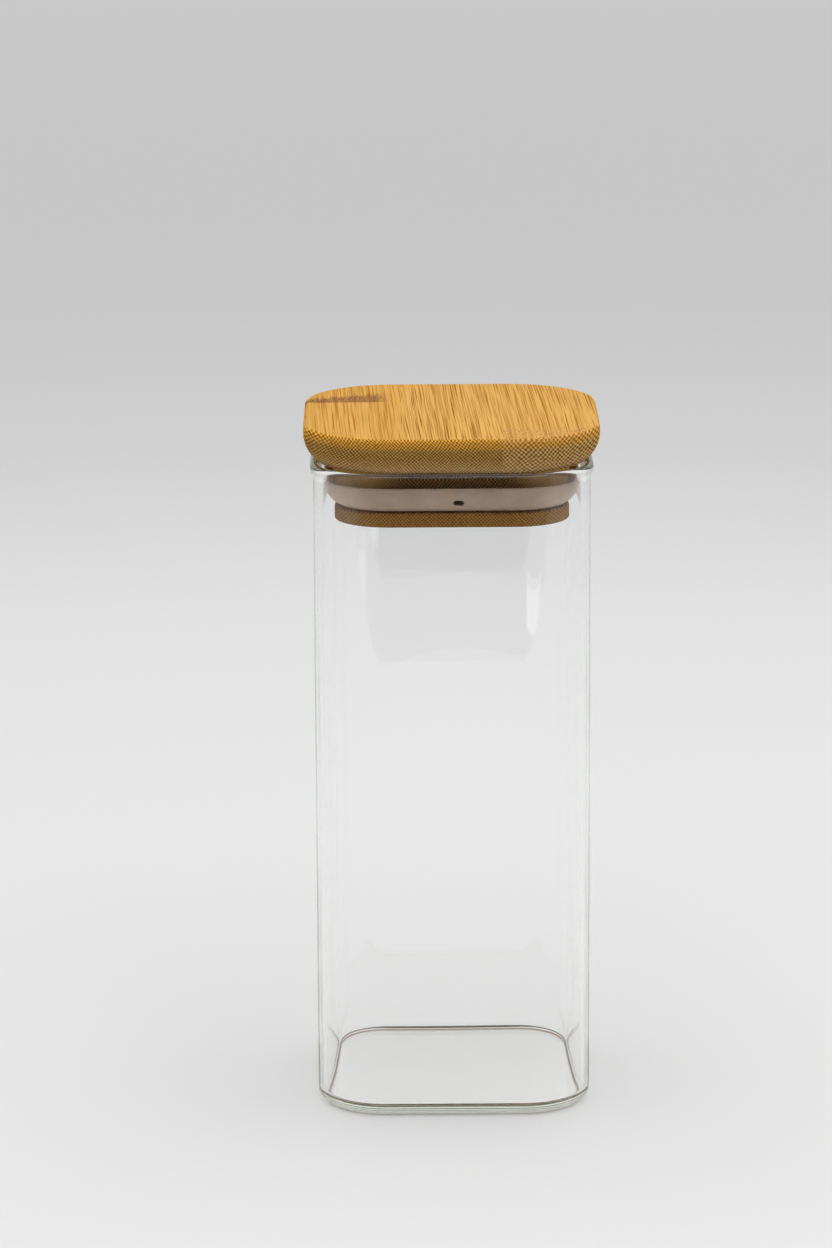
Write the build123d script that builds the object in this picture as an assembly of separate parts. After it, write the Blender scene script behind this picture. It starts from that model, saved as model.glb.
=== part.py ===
from build123d import *
import os

# Square glass spice jar with a bamboo lid, in millimetres.
# The origin is the middle of the underside of the glass, +Z is up and -Y is the front.
# Every plan outline is a square with rounded corners, centred on the Z axis.

# Glass jar
jar_width = 61.8             # across the outside of the walls
jar_height = 148.0           # table to the top of the rim
jar_corner_radius = 17.0     # outer corner of the plan
wall_thickness = 2.0
floor_thickness = 2.4
heel_radius = 3.2            # outside rounding where the wall turns under the floor
inner_heel_radius = 0.9      # inside rounding between the wall and the floor
rim_flare = 0.65             # how far the rim stands out past the wall
rim_thickness = 2.2          # fire-polished bead at the mouth
rim_height = 3.6             # height over which the wall swells into the bead

# Bamboo cap
lid_width = 66.0
lid_corner_radius = 18.0
cap_thickness = 8.1
cap_top_rounding = 1.0       # eased edge round the top face
cap_side_height = 6.8        # height of the curved part of the side
cap_undercut = 3.3           # how far the underside stays inside the widest line
lid_seat_gap = 0.15          # glass rim to the underside of the cap
strip_width = 22.0           # bamboo strip as glued into the board, the outer two are cut by the outline

# Bamboo plug under the cap
plug_gap = 2.65              # plug side to the glass wall
plug_depth = 12.8            # underside of the cap to the end of the plug
plug_edge_rounding = 0.4     # eased edge round the end of the plug
flange_height = 3.1          # bamboo left below the groove
groove_height = 4.6
groove_depth = 2.0

# Silicone seal in the groove
seal_slack = 0.5             # open part of the groove under the seal
lip_clearance = 0.3          # tip of the relaxed lip to the glass wall
lip_height = 5.6             # underside of the seal to the tip of its lip
lip_thickness = 0.8
lip_root_height = 1.3        # thickness of the lip where it leaves the band
vent_width = 2.4             # air slot through the front of the seal, end to end
vent_height = 1.3
vent_rise = 2.2              # underside of the seal to the middle of the slot
vent_offset = 1.35           # the slot sits a little to the right of the middle

# Values that follow from the sizes above
jar_half = jar_width / 2
bore_half = jar_half - wall_thickness
corner_centre = jar_half - jar_corner_radius
lid_half = lid_width / 2
lid_corner_centre = lid_half - lid_corner_radius
cap_bottom = jar_height + lid_seat_gap
cap_top = cap_bottom + cap_thickness
plug_half = bore_half - plug_gap
plug_bottom = cap_bottom - plug_depth
groove_bottom = plug_bottom + flange_height
groove_top = groove_bottom + groove_height
groove_half = plug_half - groove_depth
seal_bottom = groove_bottom + seal_slack


def upright_face(edges):
    """Face over the +X axis, drawn with points (distance from the middle, height)."""
    return Plane.XZ * make_face(edges)


def carry_round(profile, corner):
    """Carry an upright profile round a square whose corner arcs turn about (corner, corner)."""
    side = extrude(profile, amount=corner, both=True)
    turn_axis = Axis((corner, corner, 0), (0, 0, 1))
    bend = revolve(Pos(0, corner, 0) * profile, turn_axis, 90)
    quarter = side + bend
    return quarter + [Rot(0, 0, 90 * turn) * quarter for turn in (1, 2, 3)]


def rounded_plate(profile, corner, bottom, top):
    """Fill the middle of a shape whose profile starts at its corner centre."""
    middle = Pos(0, 0, (bottom + top) / 2) * Box(2 * corner, 2 * corner, top - bottom)
    return carry_round(profile, corner) + middle


def swell(low, high):
    """Smooth S-shaped line from one height to another, upright at both ends."""
    middle = (low[1] + high[1]) / 2
    return Bezier(low, (low[0], middle), (high[0], middle), high)


def glass_jar():
    """Blown glass: floor, rounded heel, straight walls and a polished bead at the mouth."""
    bead = rim_thickness / 2
    rim_half = jar_half + rim_flare
    bead_height = jar_height - bead
    swell_start = jar_height - rim_height
    heel_start = (jar_half - heel_radius, 0)
    heel_end = (jar_half, heel_radius)
    inner_start = (bore_half, floor_thickness + inner_heel_radius)
    inner_end = (bore_half - inner_heel_radius, floor_thickness)
    outer_swell = swell((jar_half, swell_start), (rim_half, bead_height))
    inner_swell = swell((bore_half, swell_start), (rim_half - rim_thickness, bead_height))
    profile = upright_face([
        Line((corner_centre, 0), heel_start),
        TangentArc(heel_start, heel_end, tangent=(1, 0)),
        Line(heel_end, (jar_half, swell_start)),
        outer_swell,
        ThreePointArc(outer_swell @ 1, (rim_half - bead, jar_height), inner_swell @ 1),
        inner_swell,
        Line((bore_half, swell_start), inner_start),
        TangentArc(inner_start, inner_end, tangent=(0, -1)),
        Line(inner_end, (corner_centre, floor_thickness)),
        Line((corner_centre, floor_thickness), (corner_centre, 0)),
    ])
    return rounded_plate(profile, corner_centre, 0, floor_thickness)


def cap():
    """Whole cap: flat top with an eased edge, and a side that curves in to the underside."""
    bottom_edge = (lid_half - cap_undercut, cap_bottom)
    side_start = (lid_half, cap_bottom + cap_side_height)
    side_end = (lid_half, cap_top - cap_top_rounding)
    top_edge = (lid_half - cap_top_rounding, cap_top)
    profile = upright_face([
        Line((lid_corner_centre, cap_bottom), bottom_edge),
        TangentArc(side_start, bottom_edge, tangent=(0, -1)),
        Line(side_start, side_end),
        TangentArc(side_end, top_edge, tangent=(0, 1)),
        Line(top_edge, (lid_corner_centre, cap_top)),
        Line((lid_corner_centre, cap_top), (lid_corner_centre, cap_bottom)),
    ])
    return rounded_plate(profile, lid_corner_centre, cap_bottom, cap_top)


def plug():
    """Whole plug: a block that drops into the mouth, with a groove milled round it for the seal."""
    end_edge = (plug_half - plug_edge_rounding, plug_bottom)
    side_start = (plug_half, plug_bottom + plug_edge_rounding)
    profile = upright_face([
        Line((corner_centre, plug_bottom), end_edge),
        TangentArc(end_edge, side_start, tangent=(1, 0)),
        Polyline(
            side_start,
            (plug_half, groove_bottom),
            (groove_half, groove_bottom),
            (groove_half, groove_top),
            (plug_half, groove_top),
            (plug_half, cap_bottom),
            (corner_centre, cap_bottom),
            (corner_centre, plug_bottom),
        ),
    ])
    return rounded_plate(profile, corner_centre, plug_bottom, cap_bottom)


def strips(board):
    """Saw a board into the three bamboo strips that it is glued up from."""
    length = 2 * lid_width
    offset = (strip_width + length) / 2
    height = 2 * cap_top
    return {
        "left": board & (Pos(-offset, 0, 0) * Box(length, length, height)),
        "centre": board & Box(strip_width, length, height),
        "right": board & (Pos(offset, 0, 0) * Box(length, length, height)),
    }


def seal_ring():
    """Silicone ring: a flat band in the groove and a thin lip that opens up and out to the glass."""
    tip_half = bore_half - lip_clearance
    tip_bottom = seal_bottom + lip_height - lip_thickness / 2
    tip_outer = (tip_half, tip_bottom)
    tip_inner = (tip_half - lip_thickness, tip_bottom)
    tip_top = (tip_half - lip_thickness / 2, seal_bottom + lip_height)
    root_low = (plug_half, seal_bottom)
    root_high = (plug_half, seal_bottom + lip_root_height)
    profile = upright_face([
        TangentArc(tip_outer, root_low, tangent=(0, -1)),
        ThreePointArc(tip_outer, tip_top, tip_inner),
        TangentArc(tip_inner, root_high, tangent=(0, -1)),
        Polyline(
            root_high,
            (plug_half, groove_top),
            (groove_half, groove_top),
            (groove_half, seal_bottom),
            root_low,
        ),
    ])
    ring = carry_round(profile, corner_centre)
    vent = Plane.XZ.offset(groove_half - groove_depth) * SlotOverall(vent_width, vent_height)
    cutter = extrude(Pos(vent_offset, 0, seal_bottom + vent_rise) * vent, amount=jar_half)
    return ring - cutter


def build():
    """Every piece by its name."""
    pieces = {"glass_jar": glass_jar()}
    for place, strip in strips(cap()).items():
        pieces["lid_strip_" + place] = strip
    for place, strip in strips(plug()).items():
        pieces["plug_strip_" + place] = strip
    pieces["seal_ring"] = seal_ring()
    return pieces


os.makedirs("parts", exist_ok=True)
for name, piece in build().items():
    export_step(piece, "parts/" + name + ".step")
    size = piece.bounding_box().size
    print(name, "volume", round(piece.volume, 1), "size", [round(length, 2) for length in size])
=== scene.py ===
import math
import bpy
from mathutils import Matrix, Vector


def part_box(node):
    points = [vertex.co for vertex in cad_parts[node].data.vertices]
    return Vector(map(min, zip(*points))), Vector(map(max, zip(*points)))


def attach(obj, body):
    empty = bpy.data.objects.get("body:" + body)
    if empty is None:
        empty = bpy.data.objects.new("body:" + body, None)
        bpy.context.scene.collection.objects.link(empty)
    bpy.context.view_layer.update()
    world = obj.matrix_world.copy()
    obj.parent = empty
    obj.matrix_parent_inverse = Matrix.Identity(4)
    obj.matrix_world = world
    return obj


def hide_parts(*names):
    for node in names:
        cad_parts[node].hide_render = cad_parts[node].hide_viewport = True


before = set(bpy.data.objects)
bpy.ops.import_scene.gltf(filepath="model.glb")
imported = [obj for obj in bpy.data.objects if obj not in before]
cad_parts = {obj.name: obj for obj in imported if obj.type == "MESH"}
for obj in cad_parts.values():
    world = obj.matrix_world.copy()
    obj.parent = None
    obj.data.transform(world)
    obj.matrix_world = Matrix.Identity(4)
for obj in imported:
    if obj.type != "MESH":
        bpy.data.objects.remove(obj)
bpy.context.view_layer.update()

from types import SimpleNamespace

import bmesh
import bpy
import numpy as np
from mathutils import Matrix, Vector

MM = 0.001


# Glass jar
# One piece of clear blown glass, square in plan with rounded corners. It has a flat floor, a rounded heel,
# straight walls 2 mm thick and a mouth that is melted to a round bead. The lid's plug drops into the mouth.
_, jar_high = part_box("glass_jar")
rim_flare = 0.65 * MM
rim_thickness = 2.2 * MM
rim_height = 3.6 * MM
wall_thickness = 2.0 * MM
floor_thickness = 2.2 * MM
heel_radius = 2.8 * MM
inner_heel_radius = 1.0 * MM
jar_corner_radius = 15.5 * MM
jar_half = jar_high.x - rim_flare
bore_half = jar_half - wall_thickness
jar_corner_centre = jar_half - jar_corner_radius
flare_start, flare_full = 0.70 * jar_half, 0.95 * jar_half
ripple_depth = 0.05 * MM
ripple_fade = 15 * MM
heel_shade, rim_shade, floor_shade = 0.2, 0.9, 0.05
# The line round the inner floor and the warm line round the foot are painted shade, for the contact shadow
# under the heel.
floor_shade_rise = 0.22 * MM
floor_shade_half = 0.07 * MM
foot_shadow_inset = heel_radius - 0.1 * MM
floor_shade_line_colour = (0.08, 0.055, 0.025)
foot_shadow_colour = (0.26, 0.13, 0.045)


def arc(centre, radius, start, end, steps):
    """Points centre + radius * (cos t, sin t) for t from start to end, in degrees."""
    turn = np.radians(np.linspace(start, end, steps + 1))
    return np.array(centre) + radius * np.stack([np.cos(turn), np.sin(turn)], axis=1)


def straight(start, end, steps):
    """Points start + s * (end - start) for s from 0 to 1."""
    share = np.linspace(0, 1, steps + 1)[:, None]
    return np.array(start) + share * (np.array(end) - np.array(start))


def swell(low, high, steps):
    """Line between two heights that is upright at both ends: x = x0 + (x1 - x0) * s * s * (3 - 2 * s)."""
    share = np.linspace(0, 1, steps + 1)
    sideways = low[0] + (high[0] - low[0]) * share * share * (3 - 2 * share)
    return np.stack([sideways, low[1] + (high[1] - low[1]) * share], axis=1)


def joined(*stretches):
    """One profile from stretches whose ends meet."""
    return np.concatenate([stretches[0]] + [stretch[1:] for stretch in stretches[1:]])


def carry_round(profile, corner, side_steps=24, bend_steps=28):
    """Grid of points from a profile of (distance, height) carried round a square with rounded corners.

    Each point is min(d, c) * s + max(d - c, 0) * n, at the profile's height. Along a side the skeleton s
    runs from (1, -1) to (1, 1) and the normal n is (1, 0). At a corner s stays at (1, 1) while n turns
    through (cos t, sin t). The other three quarters are the same, turned by 90 degrees.
    """
    along = np.linspace(-1, 1, side_steps, endpoint=False)
    turn = np.linspace(0, np.pi / 2, bend_steps, endpoint=False)
    side_skeleton = np.stack([np.ones_like(along), along], axis=1)
    side_normal = np.stack([np.ones_like(along), np.zeros_like(along)], axis=1)
    skeleton = np.concatenate([side_skeleton, np.ones((bend_steps, 2))])
    normal = np.concatenate([side_normal, np.stack([np.cos(turn), np.sin(turn)], axis=1)])
    quarter_turn = np.array([[0.0, 1.0], [-1.0, 0.0]])
    turns = [np.linalg.matrix_power(quarter_turn, quarter) for quarter in range(4)]
    skeleton = np.concatenate([skeleton @ matrix for matrix in turns])
    normal = np.concatenate([normal @ matrix for matrix in turns])
    distance, height = profile[:, 0, None, None], profile[:, 1, None, None]
    flat = np.minimum(distance, corner) * skeleton + np.maximum(distance - corner, 0) * normal
    return np.concatenate([flat, np.broadcast_to(height, flat.shape[:2] + (1,))], axis=2)


def mesh_from_grid(name, grid, loop=False):
    """Mesh over a grid whose columns close on themselves.

    The first and last rows are the poles in the middle, each closed with a fan, or with loop the rows
    close on themselves as well.
    """
    rows, columns = grid.shape[:2]
    if not loop:
        poles = grid[[0, -1], 0]
        grid = grid[1:-1]
        rows -= 2
    index = np.arange(rows * columns).reshape(rows, columns)
    right = np.roll(index, -1, axis=1)
    if loop:
        lower, lower_right = index, right
        upper, upper_right = np.roll(index, -1, axis=0), np.roll(right, -1, axis=0)
    else:
        lower, lower_right, upper, upper_right = index[:-1], right[:-1], index[1:], right[1:]
    faces = np.stack([lower, lower_right, upper_right, upper], axis=2).reshape(-1, 4).tolist()
    points = grid.reshape(-1, 3)
    if not loop:
        bottom, top = len(points), len(points) + 1
        faces += np.stack([np.full(columns, bottom), right[0], index[0]], axis=1).tolist()
        faces += np.stack([np.full(columns, top), index[-1], right[-1]], axis=1).tolist()
        points = np.concatenate([points, poles])
    mesh = bpy.data.meshes.new(name)
    mesh.from_pydata(points.tolist(), [], faces)
    mesh.update()
    return mesh


def piece_from(mesh, sharp_angle=35):
    """Object in the scene for a finished mesh, shaded smooth except at edges sharper than the angle."""
    mesh.polygons.foreach_set("use_smooth", np.ones(len(mesh.polygons), dtype=bool))
    mesh.set_sharp_from_angle(angle=math.radians(sharp_angle))
    piece = bpy.data.objects.new(mesh.name, mesh)
    bpy.context.scene.collection.objects.link(piece)
    return piece


class Wire:
    """An output of a shader node. Arithmetic on it adds Math nodes to its finish."""

    def __init__(self, finish, socket):
        self.finish, self.socket = finish, socket

    def math(self, operation, *values):
        inputs = dict(enumerate(values))
        return self.finish.node("Math", {"operation": operation}, inputs)

    def __add__(self, other):
        return self.math("ADD", self, other)

    def __sub__(self, other):
        return self.math("SUBTRACT", self, other)

    def __rsub__(self, other):
        return self.math("SUBTRACT", other, self)

    def __mul__(self, other):
        return self.math("MULTIPLY", self, other)

    def __truediv__(self, other):
        return self.math("DIVIDE", self, other)

    def __rtruediv__(self, other):
        return self.math("DIVIDE", other, self)

    def __pow__(self, other):
        return self.math("POWER", self, other)

    def __rpow__(self, other):
        return self.math("POWER", other, self)

    def size(self):
        return self.math("ABSOLUTE", self)

    def sine(self):
        return self.math("SINE", self)

    def clamped(self):
        return self.finish.node("Clamp", {}, {"Value": self})

    def between(self, low, high):
        """0 below low, 1 above high, and smooth in between."""
        settings = {"interpolation_type": "SMOOTHSTEP"}
        return self.finish.node("MapRange", settings, {"Value": self, "From Min": low, "From Max": high})

    __radd__ = __add__
    __rmul__ = __mul__


class Finish:
    """The nodes of a material, or of the world, with one method for every kind of node."""

    def __init__(self, owner):
        owner.use_nodes = True
        self.owner = owner
        self.tree = owner.node_tree
        self.tree.nodes.clear()

    def node(self, kind, settings, inputs, output=0):
        """Adds a node, sets it, then its sockets by name or number, and gives back one of its outputs."""
        node = self.tree.nodes.new("ShaderNode" + kind)
        for setting, value in settings.items():
            if setting == "stops":
                self.set_stops(node.color_ramp, value)
            else:
                setattr(node, setting, value)
        for socket, value in inputs.items():
            if isinstance(value, Wire):
                self.tree.links.new(value.socket, node.inputs[socket])
            else:
                node.inputs[socket].default_value = value
        return Wire(self, node.outputs[output]) if node.outputs else node

    def set_stops(self, ramp, stops):
        """Stops are (place, colour) pairs; a ramp starts with two of its own."""
        for place, colour in stops[2:]:
            ramp.elements.new(place)
        for element, (place, colour) in zip(ramp.elements, stops):
            element.position = place
            element.color = (*colour, 1)

    def mix(self, share, first, second, blend="MIX"):
        """first where share is 0 and second where it is 1, for colours."""
        first, second = (value if isinstance(value, Wire) else (*value, 1) for value in (first, second))
        inputs = {0: share, 6: first, 7: second}
        return self.node("Mix", {"data_type": "RGBA", "blend_type": blend}, inputs, output=2)

    def dimmed(self, colour, share):
        """The colour times a value."""
        return self.mix(1.0, colour, share, blend="MULTIPLY")

    def vector(self, x, y, z):
        return self.node("CombineXYZ", {}, {"X": x, "Y": y, "Z": z})

    def noise(self, vector, scale, detail=2.0, roughness=0.5):
        inputs = {"Vector": vector, "Scale": scale, "Detail": detail, "Roughness": roughness}
        return self.node("TexNoise", {}, inputs)

    def surface(self, shader, volume=None):
        inputs = {"Surface": shader}
        if volume:
            inputs["Volume"] = volume
        self.node("OutputMaterial", {}, inputs)
        return self.owner


def jar_profile(flare, thickness):
    """Outside, from the middle of the underside up and over the bead, and inside, back down to the floor."""
    bead = thickness / 2
    height = jar_high.z
    outer_rim, inner_rim = jar_half + flare, jar_half + flare - thickness
    outside = joined(
        straight((0, 0), (jar_corner_centre, 0), 4),
        straight((jar_corner_centre, 0), (jar_half - heel_radius, 0), 6),
        arc((jar_half - heel_radius, heel_radius), heel_radius, -90, 0, 12),
        straight((jar_half, heel_radius), (jar_half, height - rim_height), 28),
        swell((jar_half, height - rim_height), (outer_rim, height - bead), 10),
        arc((outer_rim - bead, height - bead), bead, 0, 180, 20),
    )
    wall_foot = floor_thickness + inner_heel_radius
    inside = joined(
        swell((bore_half, height - rim_height), (inner_rim, height - bead), 10)[::-1],
        straight((bore_half, height - rim_height), (bore_half, wall_foot), 28),
        arc((bore_half - inner_heel_radius, wall_foot), inner_heel_radius, 0, -90, 12),
        straight((bore_half - inner_heel_radius, floor_thickness), (jar_corner_centre, floor_thickness), 6),
        straight((jar_corner_centre, floor_thickness), (0, floor_thickness), 4),
    )
    return outside, inside


def jar_mesh():
    """The jar as it came from the mould.

    The rim stands out to the left and right and stays straight in front and behind: the shape is a mix of
    a straight one and a flared one, with a share of s * s * (3 - 2 * s), where s runs from 0 to 1 as |x| goes
    from flare_start to flare_full. The walls ripple on the inside: the shift is
    a * sin(z / 17 mm + x / 9 mm) * cos(y / 13 mm - z / 31 mm), faded out at the rim and the floor.
    """
    outside, inside = jar_profile(0, wall_thickness)
    plain = carry_round(joined(outside, inside), jar_corner_centre, bend_steps=84)
    flared = carry_round(joined(*jar_profile(rim_flare, rim_thickness)), jar_corner_centre, bend_steps=84)
    mouth = np.abs(plain[len(outside) - 1, :, 0])
    near_side = np.clip((mouth - flare_start) / (flare_full - flare_start), 0, 1)
    share = near_side * near_side * (3 - 2 * near_side)
    grid = plain + share[:, None] * (flared - plain)
    bore = grid[len(outside):]
    x, y, z = bore[..., 0], bore[..., 1], bore[..., 2]
    ripple = np.sin(z / (17 * MM) + x / (9 * MM)) * np.cos(y / (13 * MM) - z / (31 * MM))
    top_fade = np.clip((jar_high.z - rim_height - z) / ripple_fade, 0, 1)
    floor_fade = np.clip((z - floor_thickness - inner_heel_radius) / ripple_fade, 0, 1)
    shift = ripple_depth * ripple * top_fade * floor_fade
    bore[..., :2] *= (1 + shift / bore_half)[..., None]
    return mesh_from_grid("jar_glass", grid)


def shadow_of_glass(finish, from_middle, z):
    """Lets light straight through the walls. The rim, the rounded heel and the floor take part of it."""
    clear = finish.node("BsdfTransparent", {}, {"Color": (1, 1, 1, 1)})
    dim = finish.node("BsdfTransparent", {}, {"Color": (0.12, 0.08, 0.05, 1)})
    near_wall = from_middle.between(jar_half - heel_radius - 0.2 * MM, jar_half - 1.0 * MM)
    heel = near_wall * (1 - z.between(heel_radius * 0.6, heel_radius * 1.5))
    rim = z.between(jar_high.z - rim_height, jar_high.z - rim_height / 2)
    floor_slab = 1 - z.between(floor_thickness, floor_thickness + 0.5 * MM)
    shaded = floor_slab * floor_shade + heel * heel_shade + rim * rim_shade
    return finish.node("MixShader", {}, {0: shaded.clamped(), 1: clear, 2: dim})


def with_painted_shade_lines(finish, glass, from_middle, x, y, z):
    """Painted shade for the contact shadow under the heel: a dark line round the inner floor, seen through
    the glass and bolder in front and behind, and a warm line round the foot.
    """
    inner_side = 1 - from_middle.between(jar_half - 0.7 * MM, jar_half - 0.5 * MM)
    front_and_back = y.size().between(bore_half - 2.4 * MM, bore_half - 1.4 * MM)
    bolder = front_and_back * (1 - x.size().between(12 * MM, 24 * MM))
    off_line = (z - floor_thickness - floor_shade_rise).size() - bolder * floor_shade_half
    painted_floor_shade = inner_side * (1 - off_line.between(floor_shade_half, 2 * floor_shade_half))
    on_heel = from_middle.between(jar_half - foot_shadow_inset, jar_half - foot_shadow_inset + 0.4 * MM)
    painted_foot_shadow = on_heel * (1 - z.between(0.15 * MM, 0.45 * MM))
    # Colour and share of the painted shade lines.
    painted_shade_colour = finish.mix(painted_foot_shadow, floor_shade_line_colour, foot_shadow_colour)
    line = finish.node("BsdfPrincipled", {}, {"Base Color": painted_shade_colour, "Roughness": 0.5})
    painted_shade_share = painted_floor_shade * (0.85 + bolder * 0.15) + painted_foot_shadow * 0.9
    return finish.node("MixShader", {}, {0: painted_shade_share, 1: glass, 2: line})


def clear_glass():
    """Clear glass that turns faintly green along its edges, with lines of painted shade round its floor and
    foot, and the shadow of a real jar.

    The distance from the middle follows the jar's outline: the length of (max(|x| - c, 0), max(|y| - c, 0))
    plus c, where c is the centre of a corner.
    """
    finish = Finish(bpy.data.materials.new("clear_glass"))
    place = finish.node("TexCoord", {}, {}, output="Object")
    x, y, z = (finish.node("SeparateXYZ", {}, {"Vector": place}, output=axis) for axis in "XYZ")
    past_x = (x.size() - jar_corner_centre).clamped()
    past_y = (y.size() - jar_corner_centre).clamped()
    from_middle = (past_x * past_x + past_y * past_y) ** 0.5 + jar_corner_centre
    glass = finish.node("BsdfPrincipled", {}, {
        "Base Color": (1, 1, 1, 1), "Roughness": 0.0, "IOR": 1.47, "Transmission Weight": 1.0})
    seen = with_painted_shade_lines(finish, glass, from_middle, x, y, z)
    shade = shadow_of_glass(finish, from_middle, z)
    in_shadow = finish.node("LightPath", {}, {}, output="Is Shadow Ray")
    tint = finish.node("VolumeAbsorption", {}, {"Color": (0.30, 0.65, 0.30, 1), "Density": 3.0})
    return finish.surface(finish.node("MixShader", {}, {0: in_shadow, 1: seen, 2: shade}), tint)


jar = piece_from(jar_mesh())
jar.data.materials.append(clear_glass())
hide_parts("glass_jar")
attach(jar, "jar")


# Bamboo cap
# Three strips of bamboo glued side by side, with the grain running front to back, then milled to a flat
# cap with a thin eased edge on top and a side that curves in underneath. Oiled and sanded smooth.
centre_low, centre_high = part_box("lid_strip_centre")
strip_half = centre_high.x
lid_half = centre_high.y
cap_bottom, cap_top = centre_low.z, centre_high.z
lid_corner_radius = 20.0 * MM
lid_corner_centre = lid_half - lid_corner_radius
cap_top_rounding = 1.0 * MM
cap_side_height = 6.0 * MM
cap_undercut = 3.3 * MM
grain_turn = math.radians(-1.9)
strip_cuts = {"left": (None, -strip_half), "centre": (-strip_half, strip_half), "right": (strip_half, None)}


def side_arc(wide, narrow, steps):
    """Arc that is upright at its wide, upper end and ends at the narrow, lower one.

    With the ends w apart sideways and h apart in height, its radius is (w * w + h * h) / (2 * w).
    """
    inset, drop = wide[0] - narrow[0], wide[1] - narrow[1]
    radius = (inset * inset + drop * drop) / (2 * inset)
    end = -math.degrees(math.asin(drop / radius))
    return arc((wide[0] - radius, wide[1]), radius, end, 0, steps)


def cap_mesh():
    """Whole cap, before it is cut into its strips."""
    side_top = cap_top - cap_top_rounding
    wide = (lid_half, cap_bottom + cap_side_height)
    narrow = (lid_half - cap_undercut, cap_bottom)
    profile = joined(
        straight((0, cap_bottom), (lid_corner_centre, cap_bottom), 6),
        straight((lid_corner_centre, cap_bottom), narrow, 8),
        side_arc(wide, narrow, 24),
        straight(wide, (lid_half, side_top), 2),
        arc((lid_half - cap_top_rounding, side_top), cap_top_rounding, 0, 90, 10),
        straight((lid_half - cap_top_rounding, cap_top), (lid_corner_centre, cap_top), 10),
        straight((lid_corner_centre, cap_top), (0, cap_top), 10),
    )
    return mesh_from_grid("cap", carry_round(profile, lid_corner_centre))


def cut_between(whole, name, left, right):
    """The part of a mesh between two upright planes, with its cut sides closed."""
    cut = bmesh.new()
    cut.from_mesh(whole)
    for place, outward in ((left, -1), (right, 1)):
        if place is None:
            continue
        everything = cut.verts[:] + cut.edges[:] + cut.faces[:]
        sliced = bmesh.ops.bisect_plane(
            cut, geom=everything, plane_co=(place, 0, 0), plane_no=(outward, 0, 0), clear_outer=True
        )
        rim = [item for item in sliced["geom_cut"] if isinstance(item, bmesh.types.BMEdge)]
        bmesh.ops.holes_fill(cut, edges=rim, sides=0)
    bmesh.ops.recalc_face_normals(cut, faces=cut.faces)
    mesh = bpy.data.meshes.new(name)
    cut.to_mesh(mesh)
    cut.free()
    return mesh


def fibres(finish, offset):
    """Places in the wood in millimetres, and the patterns of its fibres, drawn out along the grain.

    tone changes slowly across the grain, streak and hair faster, and core is 1 in the middle of each
    bundle of fibres. The offset takes every strip from another part of the patterns.
    """
    place = finish.node("TexCoord", {}, {}, output="Object")
    turned = finish.node("Mapping", {}, {
        "Vector": place, "Rotation": (0, 0, grain_turn), "Scale": (1000, 1000, 1000)})
    x, y, z = (finish.node("SeparateXYZ", {}, {"Vector": turned}, output=axis) for axis in "XYZ")

    def drawn_out(sideways, tight, slack):
        """Place in a pattern that changes fast across the grain and slowly along it."""
        return finish.vector(sideways * tight, y * slack, z * tight)

    across = x + offset
    wander = finish.noise(drawn_out(across, 0.10, 0.020), 1.0, 1.0)
    fibre = across + (wander - 0.5) * 0.8
    bundle = finish.node("TexVoronoi", {}, {
        "Vector": drawn_out(fibre, 1.7, 0.020), "Scale": 1.0, "Randomness": 0.9})
    return SimpleNamespace(
        x=x, y=y, z=z, across=across, wander=wander, fibre=fibre,
        tone=finish.noise(drawn_out(fibre, 0.25, 0.008), 1.0, 2.0),
        streak=finish.noise(drawn_out(fibre, 2.2, 0.014), 1.0, 2.0, 0.6),
        hair=finish.noise(drawn_out(fibre, 4.5, 0.024), 1.0, 2.0, 0.6),
        core=1 - bundle.between(0.05, 0.33),
    )


def long_grain(finish, wood, light, dark):
    """Cut along the fibres: dark streaks on a light ground, which is a little deeper in places."""
    streaks = wood.streak.between(0.50, 0.62) * 0.40 + wood.hair.between(0.48, 0.62) * 0.60
    ground = finish.mix((wood.core * 1.05 + streaks + 0.02).clamped(), light, dark)
    deeper = tuple(0.84 * part for part in light)
    return finish.mix(wood.tone.between(0.35, 0.70) * 0.25, ground, deeper)


def end_grain(finish, wood, light, dark, dots, painted_top_light_and_shade, painted_bounce_light):
    """Cut across the fibres: dots in wavering rows, sin(k * x) * sin(k * z), with k = 2 * pi / dots.

    The two bands are (z0, z1, colour): the upper one is painted light on the cap's side and painted shade
    on the plug's neck, and the lower one is painted bounce light low on the cap's side.
    """
    bend = finish.noise(finish.vector(wood.across * 0.11, wood.y * 0.008, wood.z * 0.16), 1.0, 1.0)
    rows = (wood.fibre + (bend - 0.5) * 2.5) * (math.tau / dots)
    tiers = (wood.z + (wood.wander - 0.5) * 2.0) * (math.tau / dots)
    dot = rows.sine() * tiers.sine() * (0.45 + wood.tone * 1.5)
    share = (0.52 - dot + (wood.hair - 0.5) * 2.2 + (wood.streak - 0.5) * 1.1).clamped()
    colour = finish.mix(share, light, dark)
    # Upper band: painted light on the cap, painted shade on the plug's neck.
    if painted_top_light_and_shade:
        low, high, painted_top_colour = painted_top_light_and_shade
        above = wood.z.between(low, high)
        colour = finish.mix(above * 0.8, colour, finish.dimmed(painted_top_colour, 1.28 - share * 0.95))
    # Lower band: painted bounce light.
    if painted_bounce_light:
        low, high, painted_bounce_colour = painted_bounce_light
        below = 1 - wood.z.between(low, high)
        colour = finish.mix(below * 0.6, colour, finish.dimmed(painted_bounce_colour, 1.15 - share * 0.6))
    return colour


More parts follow.
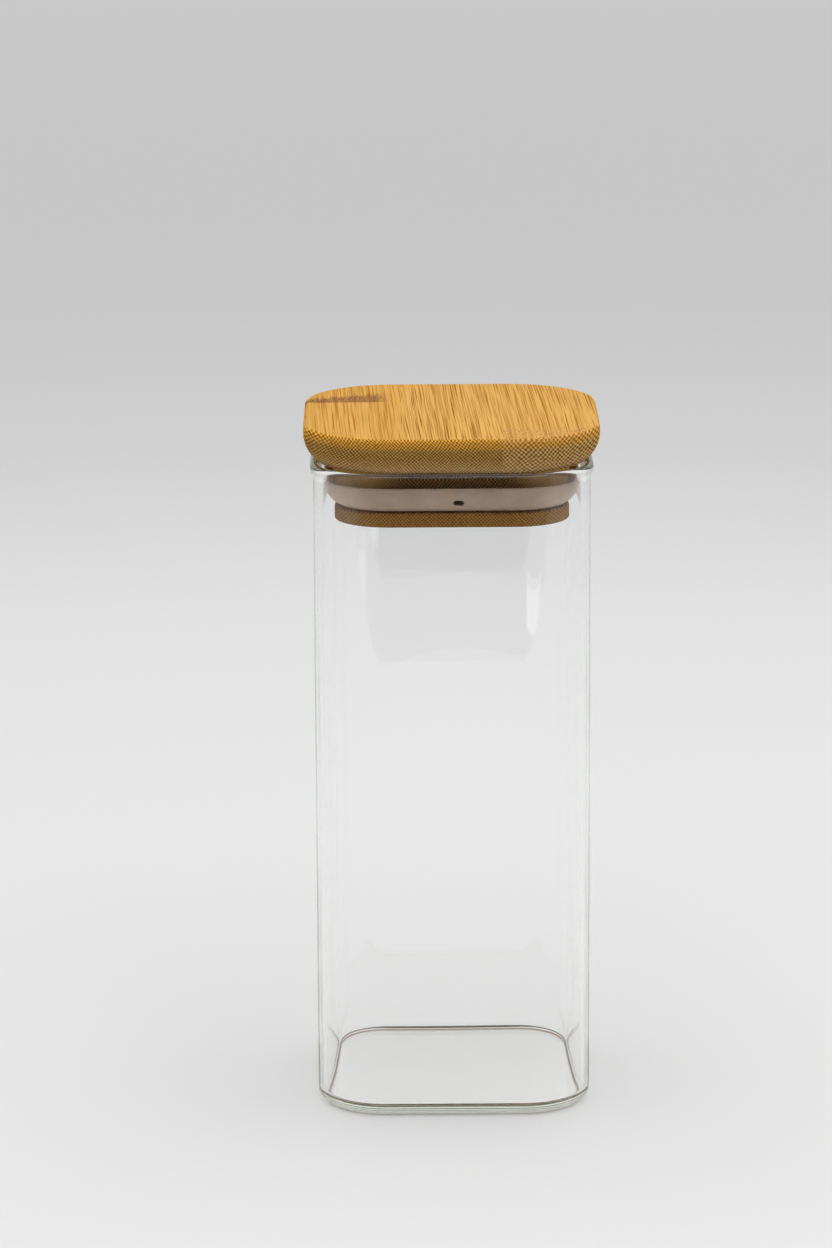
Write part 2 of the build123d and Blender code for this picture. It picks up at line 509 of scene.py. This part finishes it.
def bamboo(name, light, dark, end_light, end_dark, offset, dots=0.8, painted_top_light_and_shade=None, painted_bounce_light=None, marks=()):
    """Bamboo, streaked along its fibres and dotted on its cut ends, with bands of painted light and shade on
    its ends.
    Each of its marks changes the colour.
    """
    finish = Finish(bpy.data.materials.new(name))
    wood = fibres(finish, offset)
    facing = finish.node("TexCoord", {}, {}, output="Normal")
    facing_y = finish.node("SeparateXYZ", {}, {"Vector": facing}, output="Y")
    cut_across = facing_y.size().between(0.05, 0.25)
    along = long_grain(finish, wood, light, dark)
    end = end_grain(finish, wood, end_light, end_dark, dots, painted_top_light_and_shade, painted_bounce_light)
    colour = finish.mix(cut_across, along, end)
    for mark in marks:
        colour = mark(finish, colour, wood)
    rough = 0.55 + (wood.streak - 0.5) * 0.2
    height = wood.streak * 0.4 + wood.hair * 0.3 - wood.core * 0.5
    relief = finish.node("Bump", {}, {"Strength": 0.5, "Distance": 0.1 * MM, "Height": height})
    surface = finish.node("BsdfPrincipled", {}, {
        "Base Color": colour, "Roughness": rough, "Normal": relief, "Specular IOR Level": 0.0})
    return finish.surface(surface)


def stem_joint(finish, colour, wood):
    """Purplish brown band where the stem had a joint: straight in front, and ragged and wider behind."""
    front_edge, left_end, right_end = 11.5, -31.0, -17.0
    ragged = finish.noise(finish.vector(wood.x * 1.1, wood.y * 0.08, wood.z * 0.5), 1.0, 3.0, 0.7)
    reach = 5.2 + (wood.x - left_end) * 0.45 + (ragged - 0.5) * 10.0
    depth = wood.y - front_edge
    band = depth.between(-0.5, 0.6) * (1 - (depth / reach).between(0.55, 1.05))
    fade = 1 - wood.x.between(right_end, right_end + 4.5)
    grit = finish.noise(finish.vector(wood.x * 1.6, wood.y * 0.9, wood.z), 1.0, 3.0, 0.7)
    speckle = 0.45 + grit.between(0.35, 0.65) * 0.55
    return finish.mix((band * fade * speckle).clamped() * 0.95, colour, (0.20, 0.085, 0.048))


def rough_front(finish, colour, wood):
    """Speckled patch where the front edge was sawn through another joint."""
    patch_start, patch_full = -17.0, -24.0
    patch = 1 - (wood.y + (wood.streak - 0.5) * 8.0).between(patch_full, patch_start)
    grit = finish.noise(finish.vector(wood.x * 1.8, wood.y * 0.7, wood.z * 1.8), 1.0, 2.0, 0.6)
    on_top = wood.z.between(cap_top / MM - 1.25, cap_top / MM - 0.65)
    tinted = finish.mix(patch * on_top * 0.25, colour, (0.60, 0.31, 0.12))
    return finish.mix(patch * grit.between(0.52, 0.68) * 0.6, tinted, (0.26, 0.11, 0.035))


# Painted light on the cap's sides: a golden band just under the eased edge, and a pale band of bounce light
# low down.
cap_painted_bounce_light = (cap_bottom / MM + 0.6, cap_bottom / MM + 4.2, (0.54, 0.345, 0.165))
cap_painted_top_light = (cap_top / MM - 3.0, cap_top / MM - 1.0, (0.80, 0.375, 0.052))
strip_finishes = {
    "left": dict(
        light=(0.70, 0.395, 0.105), dark=(0.42, 0.175, 0.024),
        end_light=(0.50, 0.285, 0.078), end_dark=(0.15, 0.077, 0.014),
        offset=13.0, painted_top_light_and_shade=cap_painted_top_light, painted_bounce_light=cap_painted_bounce_light, marks=[stem_joint],
    ),
    "centre": dict(
        light=(0.73, 0.42, 0.118), dark=(0.31, 0.115, 0.012),
        end_light=(0.50, 0.285, 0.078), end_dark=(0.15, 0.077, 0.014),
        offset=71.0, painted_top_light_and_shade=cap_painted_top_light, painted_bounce_light=cap_painted_bounce_light,
    ),
    "right": dict(
        light=(0.72, 0.415, 0.118), dark=(0.38, 0.152, 0.019),
        end_light=(0.69, 0.43, 0.155), end_dark=(0.175, 0.096, 0.022),
        offset=137.0, dots=1.0, painted_top_light_and_shade=cap_painted_top_light, painted_bounce_light=cap_painted_bounce_light, marks=[rough_front],
    ),
}
whole_cap = cap_mesh()
for place, (left, right) in strip_cuts.items():
    strip = piece_from(cut_between(whole_cap, "cap_strip_" + place, left, right))
    strip.data.materials.append(bamboo("cap_bamboo_" + place, **strip_finishes[place]))
    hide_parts("lid_strip_" + place)
    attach(strip, "lid")


# Bamboo plug
# The lower part of the lid, glued under the cap and cut from the same strips. It drops into the mouth, and
# a groove milled round it holds the seal. Its colours are darker than the cap's: painted shade under the cap.
plug_low, plug_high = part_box("plug_strip_left")
plug_half = -plug_low.x
plug_bottom, plug_top = plug_low.z, plug_high.z
plug_edge_rounding = 0.4 * MM
plug_corner_centre = 13.9 * MM
groove_depth = 2.0 * MM
flange_height = 3.1 * MM
groove_height = 4.6 * MM
groove_half = plug_half - groove_depth
groove_bottom = plug_bottom + flange_height
groove_top = groove_bottom + groove_height


def plug_mesh():
    """Whole plug, before it is cut into its strips."""
    rounding = plug_edge_rounding
    profile = joined(
        straight((0, plug_bottom), (plug_corner_centre, plug_bottom), 6),
        straight((plug_corner_centre, plug_bottom), (plug_half - rounding, plug_bottom), 6),
        arc((plug_half - rounding, plug_bottom + rounding), rounding, -90, 0, 6),
        straight((plug_half, plug_bottom + rounding), (plug_half, groove_bottom - rounding), 4),
        arc((plug_half - rounding, groove_bottom - rounding), rounding, 0, 90, 6),
        straight((plug_half - rounding, groove_bottom), (groove_half, groove_bottom), 3),
        straight((groove_half, groove_bottom), (groove_half, groove_top), 4),
        straight((groove_half, groove_top), (plug_half, groove_top), 3),
        straight((plug_half, groove_top), (plug_half, plug_top), 5),
        straight((plug_half, plug_top), (plug_corner_centre, plug_top), 4),
        straight((plug_corner_centre, plug_top), (0, plug_top), 4),
    )
    return mesh_from_grid("plug", carry_round(profile, plug_corner_centre))


def painted_light_on_neck_ends(finish, colour, wood):
    """Painted light: a paler colour above the groove, to the left and right, where light from the sides
    reaches the neck.
    """
    share = wood.z.between(groove_top / MM, groove_top / MM + 0.8) * wood.x.size().between(10.0, 21.0)
    return finish.mix(share * (0.75 + (wood.hair - 0.5) * 0.8), colour, (0.74, 0.44, 0.12))


whole_plug = plug_mesh()
# Darker colours than the cap's, and the dark band on the neck just under the cap, are painted shade.
plug_finish = bamboo(
    "plug_bamboo", light=(0.55, 0.28, 0.065), dark=(0.22, 0.095, 0.018),
    end_light=(0.46, 0.235, 0.057), end_dark=(0.20, 0.094, 0.018), offset=211.0,
    painted_top_light_and_shade=(groove_top / MM, groove_top / MM + 1.5, (0.27, 0.14, 0.030)), marks=[painted_light_on_neck_ends],
)
for place, (left, right) in strip_cuts.items():
    strip = piece_from(cut_between(whole_plug, "plug_bamboo_" + place, left, right))
    strip.data.materials.append(plug_finish)
    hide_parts("plug_strip_" + place)
    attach(strip, "lid")


# Silicone seal
# One moulded ring of milky silicone. A flat band sits in the plug's groove, and a thin lip opens up and out
# to the glass. A short slot through the front of the ring lets air out as the lid goes on.
seal_low, seal_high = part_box("seal_ring")
lip_thickness = 0.8 * MM
lip_root_height = 1.3 * MM
lip_undercut = 0.8 * MM
vent_width = 2.4 * MM
vent_height = 1.3 * MM
vent_middle = (1.35 * MM, seal_low.z + 2.2 * MM)


def seal_mesh():
    """Band and lip, whose outer and inner sides are arcs that end upright at the tip."""
    tip_half = seal_high.x
    tip_height = seal_high.z - lip_thickness / 2
    root = (plug_half - lip_undercut, seal_low.z)
    inner_root = (plug_half, seal_low.z + lip_root_height)
    tip_inner = (tip_half - lip_thickness, tip_height)
    profile = joined(
        straight((groove_half, seal_low.z), root, 3),
        side_arc((tip_half, tip_height), root, 16),
        arc((tip_half - lip_thickness / 2, tip_height), lip_thickness / 2, 0, 180, 8),
        side_arc(tip_inner, inner_root, 16)[::-1],
        straight(inner_root, (plug_half, groove_top), 4),
        straight((plug_half, groove_top), (groove_half, groove_top), 3),
        straight((groove_half, groove_top), (groove_half, seal_low.z), 4),
    )[:-1]
    return mesh_from_grid("seal", carry_round(profile, plug_corner_centre), loop=True)


def slot_cutter():
    """Bar with the slot's outline that runs through the front of the ring.

    Its rows of points are the middle and the outline behind, then the outline and the middle in front.
    """
    end = vent_height / 2
    reach = vent_width / 2 - end
    outline = np.concatenate([arc((reach, 0), end, -90, 90, 12), arc((-reach, 0), end, 90, 270, 12)])
    front, back = -seal_high.x - MM, -groove_half + MM
    spread = np.array([0, 1, 1, 0])[:, None]
    x = vent_middle[0] + spread * outline[:, 0]
    y = np.broadcast_to(np.array([back, back, front, front])[:, None], x.shape)
    z = vent_middle[1] + spread * outline[:, 1]
    return mesh_from_grid("slot_cutter", np.stack([x, y, z], axis=2))


def with_slot(whole):
    """The ring with the air slot cut out of it."""
    ring = bpy.data.objects.new("whole_ring", whole)
    cutter = bpy.data.objects.new("slot_cutter", slot_cutter())
    for thing in (ring, cutter):
        bpy.context.scene.collection.objects.link(thing)
    cut = ring.modifiers.new("slot", "BOOLEAN")
    cut.operation = "DIFFERENCE"
    cut.solver = "EXACT"
    cut.object = cutter
    bpy.context.view_layer.update()
    finished = bpy.data.meshes.new_from_object(ring.evaluated_get(bpy.context.evaluated_depsgraph_get()))
    finished.name = "silicone_seal"
    for thing in (ring, cutter):
        bpy.data.objects.remove(thing)
    return finished


def milky_silicone():
    """Soft silicone that lets a little light in, with a satin skin."""
    finish = Finish(bpy.data.materials.new("milky_silicone"))
    place = finish.node("TexCoord", {}, {}, output="Object")
    cloud = finish.noise(place, 140.0, 3.0)
    colour = finish.mix(cloud.between(0.35, 0.7), (0.75, 0.565, 0.44), (0.64, 0.48, 0.37))
    relief = finish.node("Bump", {}, {
        "Strength": 0.15, "Distance": 0.1 * MM, "Height": finish.noise(place, 900.0, 2.0)})
    skin = finish.node("BsdfPrincipled", {}, {
        "Base Color": colour, "Roughness": 0.40 + (cloud - 0.5) * 0.1, "Normal": relief,
        "Subsurface Weight": 0.3, "Subsurface Radius": (0.0016, 0.0013, 0.0012), "Subsurface Scale": 1.0,
        "Specular IOR Level": 0.35})
    return finish.surface(skin)


seal = piece_from(with_slot(seal_mesh()), sharp_angle=40)
seal.data.materials.clear()
seal.data.materials.append(milky_silicone())
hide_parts("seal_ring")
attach(seal, "lid")


# Table and light
# A plain pale sheet whose grey changes a little with distance from the jar, as painted light falloff, a broad
# soft light overhead, and two small soft panels in front that show as upright streaks in the corners of the
# glass.
floor_size = 9.0
floor_front = -0.46
floor_gap = 0.03 * MM
paper_reach = 2.5
painted_falloff_greys = [(0.0, 0.755), (0.12, 0.81), (0.19, 0.81), (0.29, 0.73), (0.42, 0.69), (0.85, 0.75)]


def paper():
    """White paper whose grey changes a little with distance from the middle, as a share of its reach: painted
    light falloff.
    """
    finish = Finish(bpy.data.materials.new("pale_paper"))
    place = finish.node("TexCoord", {}, {}, output="Object")
    distance = finish.node("VectorMath", {"operation": "LENGTH"}, {0: place}, output="Value")
    stops = [(share, (grey, grey, grey)) for share, grey in painted_falloff_greys]
    # The grey by distance is painted light falloff.
    shade = finish.node("ValToRGB", {"stops": stops}, {"Fac": distance / paper_reach}, output="Color")
    sheet = finish.node("BsdfPrincipled", {}, {
        "Base Color": shade, "Roughness": 0.9, "Specular IOR Level": 0.1})
    return finish.surface(sheet)


def studio():
    """Bright above and behind, fairly bright at the sides, and dark on the camera's side."""
    everywhere, from_sides, from_behind, from_above = 0.07, 0.38, 0.45, 0.78
    finish = Finish(bpy.data.worlds.new("studio"))
    direction = finish.node("TexCoord", {}, {}, output="Generated")
    x, y, z = (finish.node("SeparateXYZ", {}, {"Vector": direction}, output=axis) for axis in "XYZ")
    overhead = (z + y * 0.35).between(0.35, 1.0)
    strength = everywhere + x.size() * from_sides + y.clamped() * from_behind + overhead * from_above
    light = finish.node("Background", {}, {"Color": (1, 1, 1, 1), "Strength": strength})
    finish.node("OutputWorld", {}, {"Surface": light})
    return finish.owner


half_floor = floor_size / 2
floor_points = [
    (-half_floor, floor_front, -floor_gap), (half_floor, floor_front, -floor_gap),
    (half_floor, half_floor, -floor_gap), (-half_floor, half_floor, -floor_gap),
]
floor_mesh = bpy.data.meshes.new("floor")
floor_mesh.from_pydata(floor_points, [], [(0, 1, 2, 3)])
floor = bpy.data.objects.new("floor", floor_mesh)
bpy.context.scene.collection.objects.link(floor)
floor_mesh.materials.append(paper())
bpy.context.scene.world = studio()


def soft_light(name, place, aim, width, height, power):
    """Rectangular light, with sizes in metres, that faces a point."""
    light = bpy.data.lights.new(name, "AREA")
    light.shape = "RECTANGLE"
    light.size, light.size_y = width, height
    light.energy = power
    lamp = bpy.data.objects.new(name, light)
    bpy.context.scene.collection.objects.link(lamp)
    lamp.location = place
    lamp.rotation_euler = (Vector(aim) - Vector(place)).to_track_quat("-Z", "Y").to_euler()


upper_glass = (0, 0, 0.11)
soft_light("overhead", (0.07, -0.31, 0.94), aim=(0, 0, 0), width=0.85, height=0.85, power=4.15)
soft_light("left_window", (-0.36, -0.50, -0.025), aim=upper_glass, width=0.10, height=0.05, power=0.02)
soft_light("right_window", (0.19, -0.50, 0), aim=upper_glass, width=0.22, height=0.018, power=0.019)


# Camera
# The photograph's view: a long lens above the lid, almost straight in front, looking down at the jar.
image_height = 1248
focal_pixels = 5200
sensor = 36.0
camera_place = Vector((-8.07, -1146.8, 382.0)) * MM
look_down = math.radians(13.48)
camera_turn = math.radians(-0.2)
camera_roll = math.radians(-0.29)
camera_data = bpy.data.cameras.new("photo_view")
camera_data.sensor_fit = "VERTICAL"
camera_data.sensor_height = sensor
camera_data.lens = focal_pixels * sensor / image_height
camera_data.clip_end = 50
camera = bpy.data.objects.new("photo_view", camera_data)
bpy.context.scene.collection.objects.link(camera)
around = Matrix.Rotation(camera_turn, 4, "Z")
tilt = Matrix.Rotation(math.pi / 2 - look_down, 4, "X")
camera.matrix_world = around @ Matrix.Translation(camera_place) @ tilt @ Matrix.Rotation(camera_roll, 4, "Z")
bpy.context.scene.camera = camera

# Light is reflected many times between the faces of the glass, so its paths are not cut short.
bounces = 64
scene = bpy.context.scene
scene.view_settings.view_transform = "Standard"
scene.cycles.max_bounces = bounces
scene.cycles.glossy_bounces = bounces
scene.cycles.transmission_bounces = bounces
scene.cycles.transparent_max_bounces = bounces
